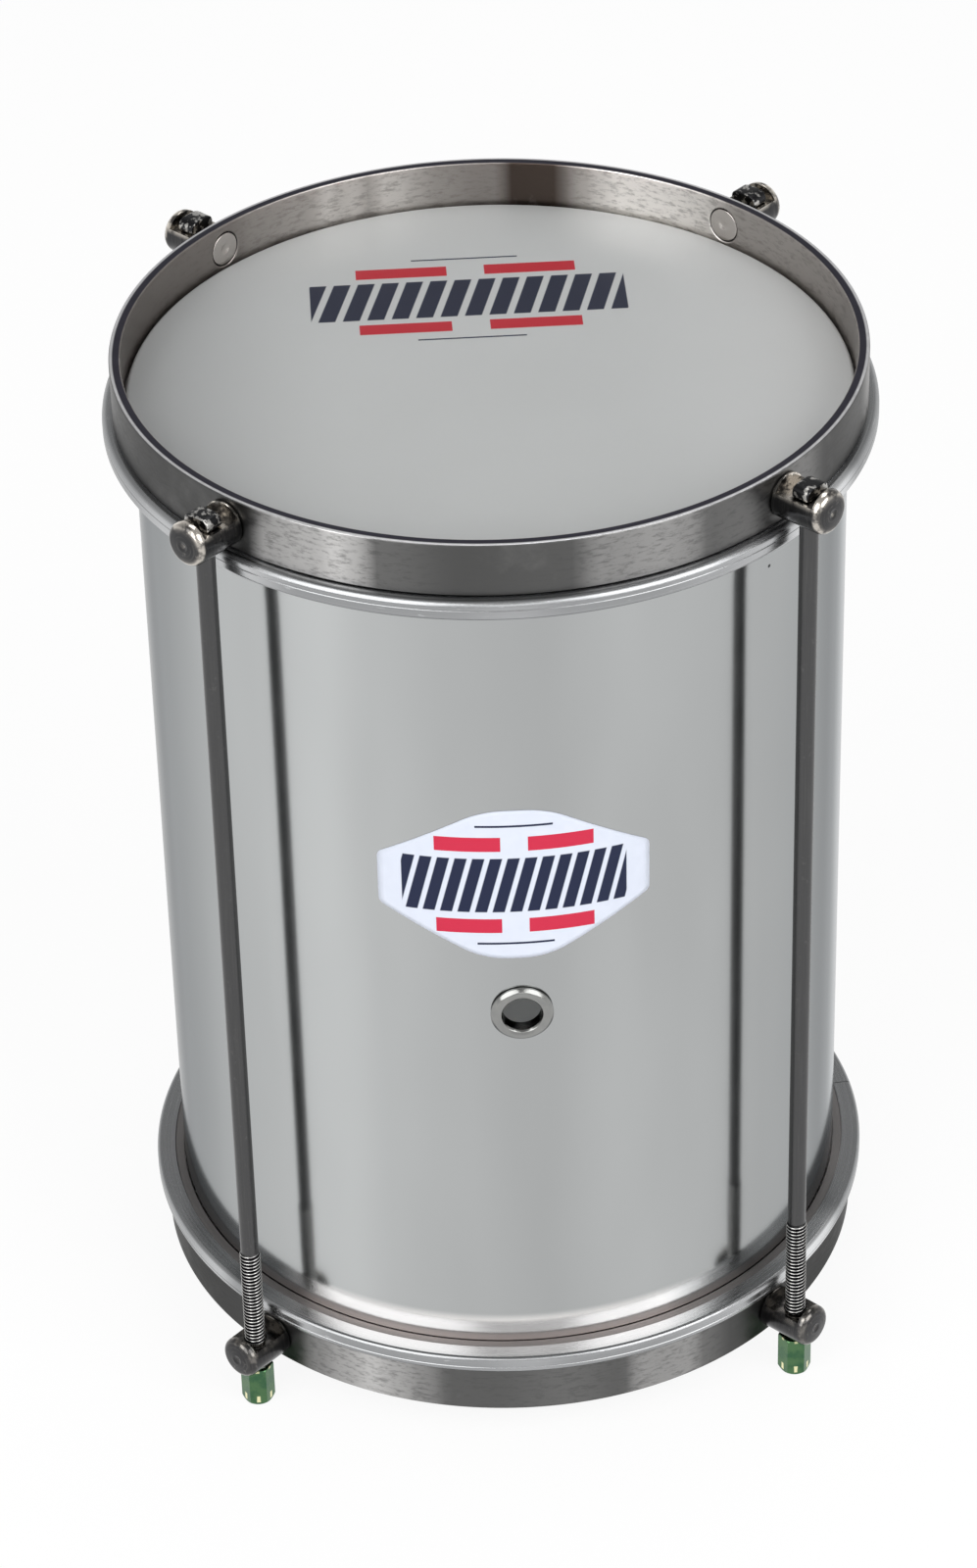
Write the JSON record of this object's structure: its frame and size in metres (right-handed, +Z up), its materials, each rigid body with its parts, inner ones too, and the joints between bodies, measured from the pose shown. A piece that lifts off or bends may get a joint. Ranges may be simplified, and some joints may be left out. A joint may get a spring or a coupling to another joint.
{
  "type": "repinique drum",
  "caption": "Small cylindrical two-headed samba drum: metal shell, flat steel hoops, notched studs, long rods with hammer heads, hexagon tuning nuts and a vent.",
  "frame": {"origin": "on the drum's axis, level with the lower faces of the tuning nuts that it stands on", "axes": "+Z up along the drum's axis to the batter head; -Y towards the vent; +X to the right seen from the vent's side"},
  "size_m": [0.2204, 0.2204, 0.3188],
  "materials": {
    "shell_metal": "bright rolled sheet, nearly mirror",
    "vent_metal": "polished plated eyelet",
    "film": "milky translucent film, satin",
    "flesh_hoop": "drawn, satin with fine lines along the ring",
    "counterhoop": "nickel-dark plated flat bar, lightly mottled",
    "stud": "dark plated, bright at the edges",
    "rod": "drawn rod, dull dark plating, rolled thread at the foot",
    "nut": "green passivated zinc with yellow glints"
  },
  "bodies": {
    "drum": {"shell": "shell_metal", "vent_grommet": "vent_metal", "batter_film": "film", "batter_flesh_hoop": "flesh_hoop", "batter_counterhoop": "counterhoop", "batter_stud_front_right": "stud", "batter_stud_back_right": "stud", "batter_stud_back_left": "stud", "batter_stud_front_left": "stud", "resonant_film": "film", "resonant_flesh_hoop": "flesh_hoop", "resonant_counterhoop": "counterhoop", "resonant_stud_front_right": "stud", "resonant_stud_back_right": "stud", "resonant_stud_back_left": "stud", "resonant_stud_front_left": "stud"},
    "rod_front_right": {"tension_rod_front_right": "rod"},
    "nut_front_right": {"tuning_nut_front_right": "nut"},
    "rod_back_right": {"tension_rod_back_right": "rod"},
    "nut_back_right": {"tuning_nut_back_right": "nut"},
    "rod_back_left": {"tension_rod_back_left": "rod"},
    "nut_back_left": {"tuning_nut_back_left": "nut"},
    "rod_front_left": {"tension_rod_front_left": "rod"},
    "nut_front_left": {"tuning_nut_front_left": "nut"}
  },
  "joints": [
    {"name": "rod_lift_front_right", "type": "slide", "parent": "drum", "child": "rod_front_right", "axis": [0, 0, 1], "range_m": [0, 0.00762]},
    {"name": "nut_turn_front_right", "type": "hinge", "parent": "drum", "child": "nut_front_right", "pos_m": [0.08181, -0.08181, 0.0067], "axis": [0, 0, -1], "range_deg": [0, 2160]},
    {"name": "rod_lift_back_right", "type": "slide", "parent": "drum", "child": "rod_back_right", "axis": [0, 0, 1], "range_m": [0, 0.00762]},
    {"name": "nut_turn_back_right", "type": "hinge", "parent": "drum", "child": "nut_back_right", "pos_m": [0.08181, 0.08181, 0.0067], "axis": [0, 0, -1], "range_deg": [0, 2160]},
    {"name": "rod_lift_back_left", "type": "slide", "parent": "drum", "child": "rod_back_left", "axis": [0, 0, 1], "range_m": [0, 0.00762]},
    {"name": "nut_turn_back_left", "type": "hinge", "parent": "drum", "child": "nut_back_left", "pos_m": [-0.08181, 0.08181, 0.0067], "axis": [0, 0, -1], "range_deg": [0, 2160]},
    {"name": "rod_lift_front_left", "type": "slide", "parent": "drum", "child": "rod_front_left", "axis": [0, 0, 1], "range_m": [0, 0.00762]},
    {"name": "nut_turn_front_left", "type": "hinge", "parent": "drum", "child": "nut_front_left", "pos_m": [-0.08181, -0.08181, 0.0067], "axis": [0, 0, -1], "range_deg": [0, 2160]}
  ],
  "couplings": [
    {"joint": "nut_turn_front_right", "follows": "rod_lift_front_right", "rad_per_m": 4947.4},
    {"joint": "nut_turn_back_right", "follows": "rod_lift_back_right", "rad_per_m": 4947.4},
    {"joint": "nut_turn_back_left", "follows": "rod_lift_back_left", "rad_per_m": 4947.4},
    {"joint": "nut_turn_front_left", "follows": "rod_lift_front_left", "rad_per_m": 4947.4}
  ]
}
